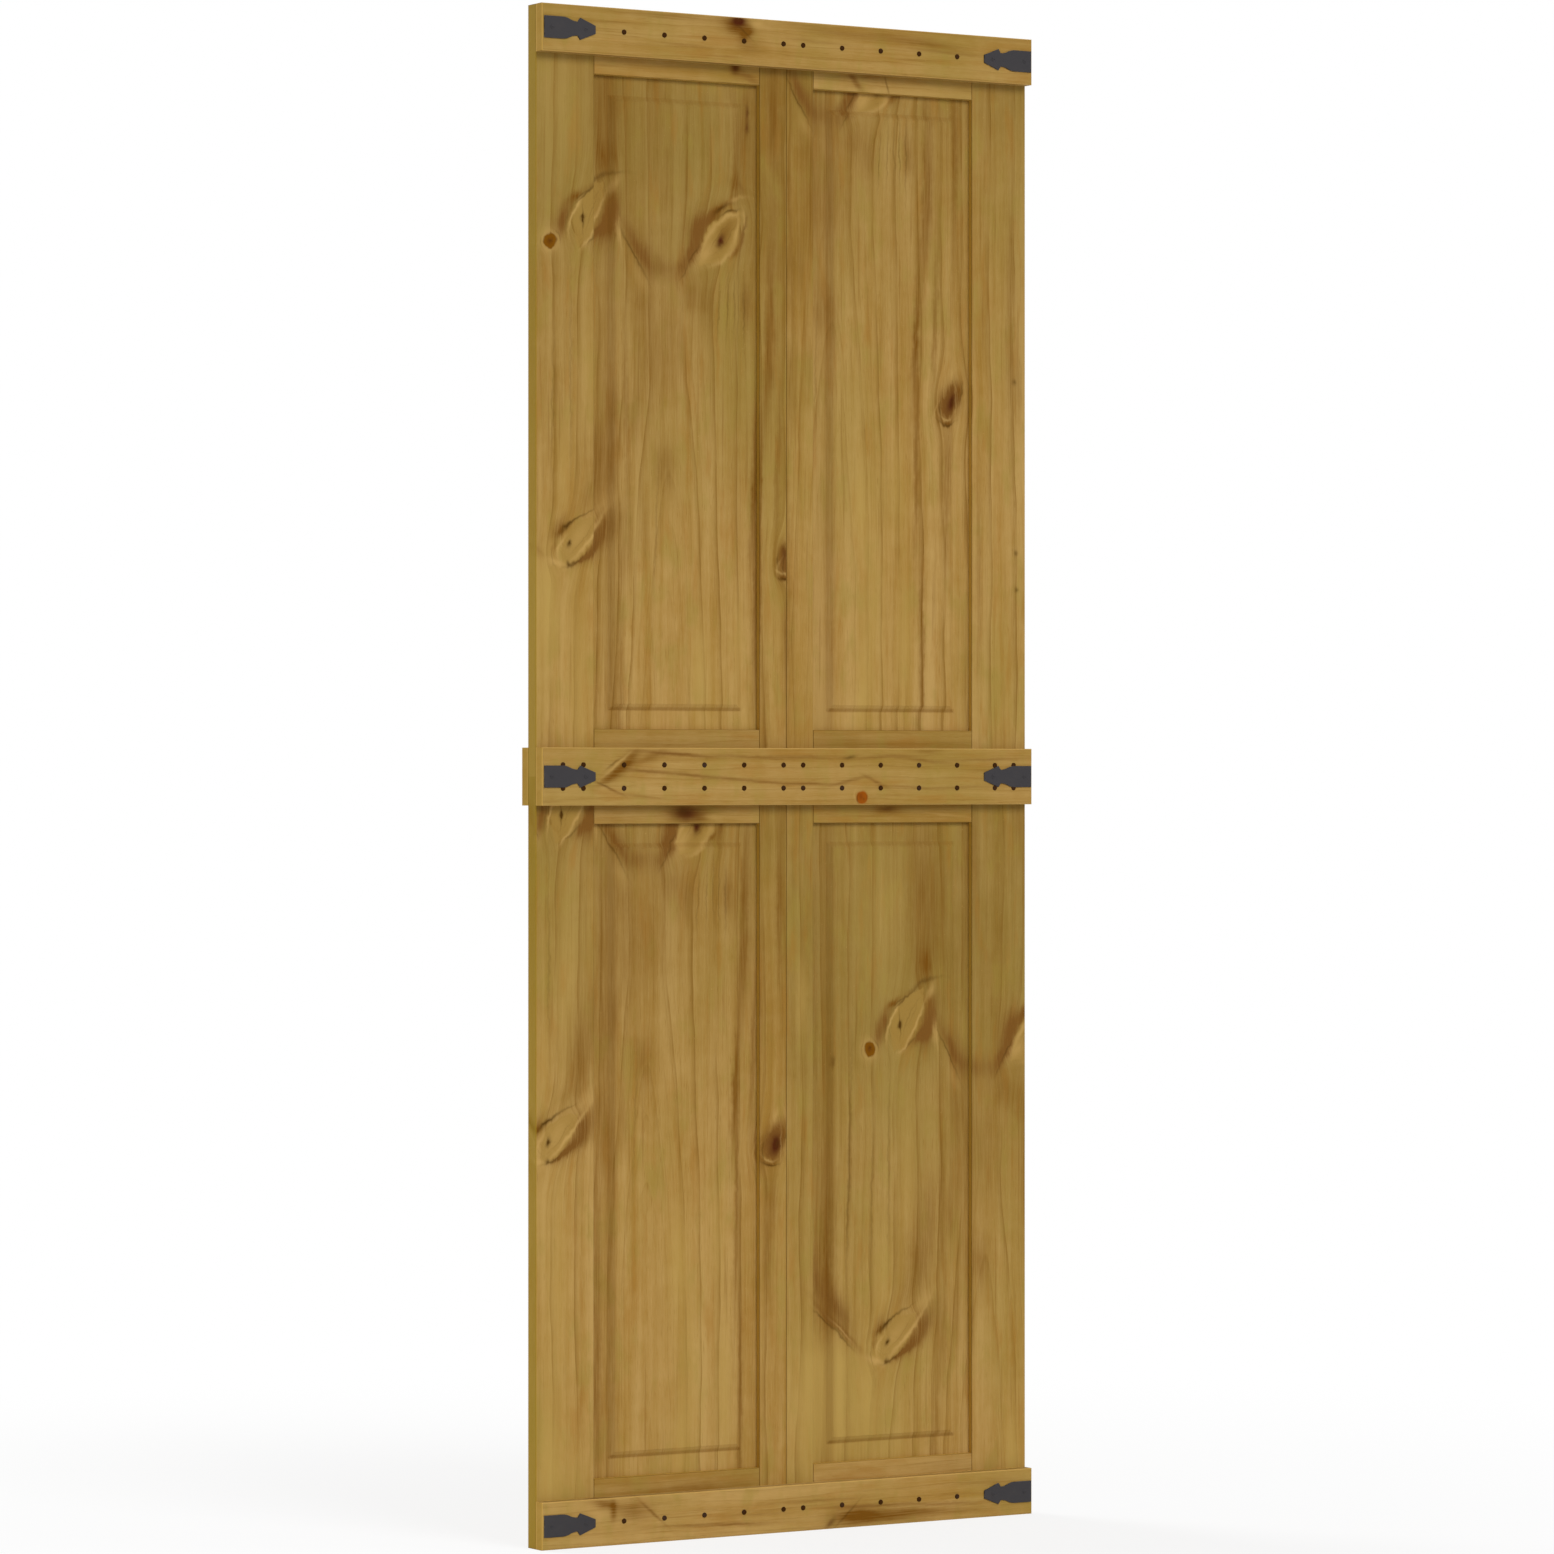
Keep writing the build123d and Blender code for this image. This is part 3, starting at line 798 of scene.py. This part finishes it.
def blackIron(name, plan):
    made, shader, place = newMaterial(name)
    depth = splitPlace(place)[1]
    hammer = place.noise(place, 160.0, 2.0)
    grit = place.noise(place, 900.0, 2.0)
    cloud = place.noise(place, 40.0, 3.0)
    base = {0: cloud.ramp(0.45, 0.8) * 0.35, 6: plan["paint"], 7: iron["dust"]}
    colour = place.node("ShaderNodeMix", {"data_type": "RGBA"}, base, out=2)
    wearAndHighlight = (depth * (1 / mm)).ramp(plan["rubbed"], plan["rubbed"] + 0.3) * hammer.ramp(0.4, 0.62)
    colour = colour.mix(wearAndHighlight * 0.55, iron["wearAndHighlight"])
    feed(colour, shader.inputs["Base Color"])
    feed(cloud.plus(0.25, iron["roughness"] - 0.1) - wearAndHighlight * 0.12, shader.inputs["Roughness"])
    shader.inputs["Specular IOR Level"].default_value = plan["specular"]
    relief = {"Strength": 0.4, "Distance": 0.0005, "Height": hammer + grit * 0.25}
    feed(place.node("ShaderNodeBump", {}, relief), shader.inputs["Normal"])
    return made


plateIron = blackIron("plateIron", iron["plate"])
nailIron = blackIron("nailIron", iron["nail"])
for name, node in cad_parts.items():
    if name.endswith("arrow_plate"):
        for slot in node.material_slots:
            slot.material = plateIron
print("iron on the arrow plates")


# Nails through the battens: sizes of one nail, then the rows and columns of heads on each batten
nail = {
    "sides": 20,
    "headRadius": 3.5,
    "headHeight": 1.4,
    "rim": 0.75,
    "rimSteps": 3,
    "shankRadius": 1.5,
    "length": 34,
    "pointLength": 5,
    "pointShare": 0.15,
    "smoothBelow": 40,
    "sunk": 0.1,
    "backProud": 0.5,
}
battenFront = -9.0
battenBack = 49.0
nailRows = {
    "top": {"rows": (1017.5,), "columns": (16, 80, 144, 208, 272)},
    "middle": {"rows": (16, -16), "columns": (16, 80, 144, 208, 272, 336, 368)},
    "bottom": {"rows": (-1017.5,), "columns": (16, 80, 144, 208, 272)},
}
backNails = {"rows": (16, -16), "columns": (48, 112, 176, 240, 304, 352)}


def onlyFaces(piece, test):
    # leaves only the faces that pass the test selected, in edit mode's face select
    bpy.ops.object.mode_set(mode="EDIT")
    bpy.ops.mesh.select_mode(type="FACE")
    bpy.ops.mesh.select_all(action="DESELECT")
    bpy.ops.object.mode_set(mode="OBJECT")
    for face in piece.data.polygons:
        face.select = test(face)
    bpy.ops.object.mode_set(mode="EDIT")


def settle(piece, name):
    bpy.ops.object.mode_set(mode="OBJECT")
    bpy.ops.object.transform_apply(location=True, rotation=True, scale=True)
    piece.name = name
    piece.data.name = name


def roundHead(plan, name):
    # a disc that looks to the front, with its front rim rounded; it is left in edit mode
    bpy.ops.object.select_all(action="DESELECT")
    bpy.ops.mesh.primitive_cylinder_add(vertices=plan["sides"], radius=plan["headRadius"] * mm,
                                        depth=plan["headHeight"] * mm, location=(0, 0, 0),
                                        rotation=(math.radians(90), 0, 0))
    piece = bpy.context.object
    settle(piece, name)
    onlyFaces(piece, lambda face: face.normal.y < -0.9)
    bpy.ops.mesh.bevel(offset=plan["rim"] * mm, segments=plan["rimSteps"], affect="EDGES")
    return piece


def buildNail(plan):
    piece = roundHead(plan, "nailModel")
    half = plan["headHeight"] / 2 * mm
    shank = (plan["length"] - plan["pointLength"]) * mm
    share = plan["pointShare"]
    # shank and point behind the head
    onlyFaces(piece, lambda face: face.normal.y > 0.9 and face.center.y > half * 0.9)
    bpy.ops.mesh.inset(thickness=(plan["headRadius"] - plan["shankRadius"]) * mm, depth=0)
    bpy.ops.mesh.extrude_region_move(TRANSFORM_OT_translate={"value": (0, shank, 0)})
    bpy.ops.mesh.extrude_region_move(TRANSFORM_OT_translate={"value": (0, plan["pointLength"] * mm, 0)})
    bpy.ops.transform.resize(value=(share, 1, share), center_override=(0, 0, 0))
    settle(piece, "nailModel")
    bpy.ops.object.shade_smooth_by_angle(angle=math.radians(plan["smoothBelow"]))
    return piece


def copyTo(model, place, name, turn=0):
    bpy.ops.object.select_all(action="DESELECT")
    model.select_set(True)
    bpy.context.view_layer.objects.active = model
    bpy.ops.object.duplicate(linked=False)
    piece = bpy.context.object
    piece.location = place
    piece.rotation_euler = (0, 0, math.radians(turn))
    bpy.ops.object.transform_apply(location=True, rotation=True, scale=True)
    piece.name = name
    return piece


def joinAs(pieces, name, finish):
    bpy.ops.object.select_all(action="DESELECT")
    for piece in pieces:
        piece.select_set(True)
    bpy.context.view_layer.objects.active = pieces[0]
    bpy.ops.object.join()
    joined = bpy.context.object
    joined.name = name
    joined.data.name = name
    joined.data.materials.clear()
    joined.data.materials.append(finish)
    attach(joined, "root")


def driveRows(model, place, plan, headY, turn=0):
    pieces = []
    for row in plan["rows"]:
        for column in plan["columns"]:
            for side in (-1, 1):
                spot = (side * column * mm, headY * mm, row * mm + midHeight)
                pieces.append(copyTo(model, spot, "nailCopy", turn))
    joinAs(pieces, place + "_batten_nails", nailIron)
    print(place, "batten:", len(pieces), "nails")


def driveNails():
    model = buildNail(nail)
    half = nail["headHeight"] / 2
    for place, plan in nailRows.items():
        driveRows(model, place, plan, battenFront - half + nail["sunk"])
    # the back batten's nails fall between the front ones and are driven almost flush
    driveRows(model, "back", backNails, battenBack + nail["backProud"] - half, 180)
    bpy.data.objects.remove(model)


driveNails()


# Screws in the arrow plates
screw = {
    "sides": 24,
    "headRadius": 3.0,
    "headHeight": 0.6,
    "rim": 0.25,
    "rimSteps": 2,
    "slotWidth": 0.9,
    "slotDepth": 0.4,
    "slotTurn": 25,
    "smoothBelow": 35,
    "sunk": 0.15,
    "fromButt": (12, 65),
}
plateFront = -11.0
plateInset = 2.5


def buildScrew(plan):
    piece = roundHead(plan, "screwModel")
    settle(piece, "screwModel")
    bpy.ops.object.select_all(action="DESELECT")
    bpy.ops.mesh.primitive_cube_add(size=1, location=(0, -plan["headHeight"] / 2 * mm, 0))
    cutter = bpy.context.object
    cutter.scale = (plan["headRadius"] * 3 * mm, plan["slotDepth"] * 2 * mm, plan["slotWidth"] * mm)
    cutter.rotation_euler = (0, math.radians(plan["slotTurn"]), 0)
    settle(cutter, "slotCutter")
    bpy.ops.object.select_all(action="DESELECT")
    piece.select_set(True)
    bpy.context.view_layer.objects.active = piece
    cut = piece.modifiers.new("slot", "BOOLEAN")
    cut.object = cutter
    cut.operation = "DIFFERENCE"
    cut.solver = "EXACT"
    bpy.ops.object.modifier_apply(modifier=cut.name)
    bpy.data.objects.remove(cutter)
    bpy.ops.object.shade_smooth_by_angle(angle=math.radians(plan["smoothBelow"]))
    return piece


def driveScrews():
    model = buildScrew(screw)
    headY = (plateFront - screw["headHeight"] / 2 + screw["sunk"]) * mm
    for place, plan in nailRows.items():
        row = sum(plan["rows"]) / len(plan["rows"])
        pieces = []
        for side in (-1, 1):
            for reach in screw["fromButt"]:
                spot = (side * (halfWidth - plateInset - reach) * mm, headY, row * mm + midHeight)
                pieces.append(copyTo(model, spot, "screwCopy"))
        joinAs(pieces, place + "_plate_screws", plateIron)
    bpy.data.objects.remove(model)
    print("plate screws driven")


driveScrews()
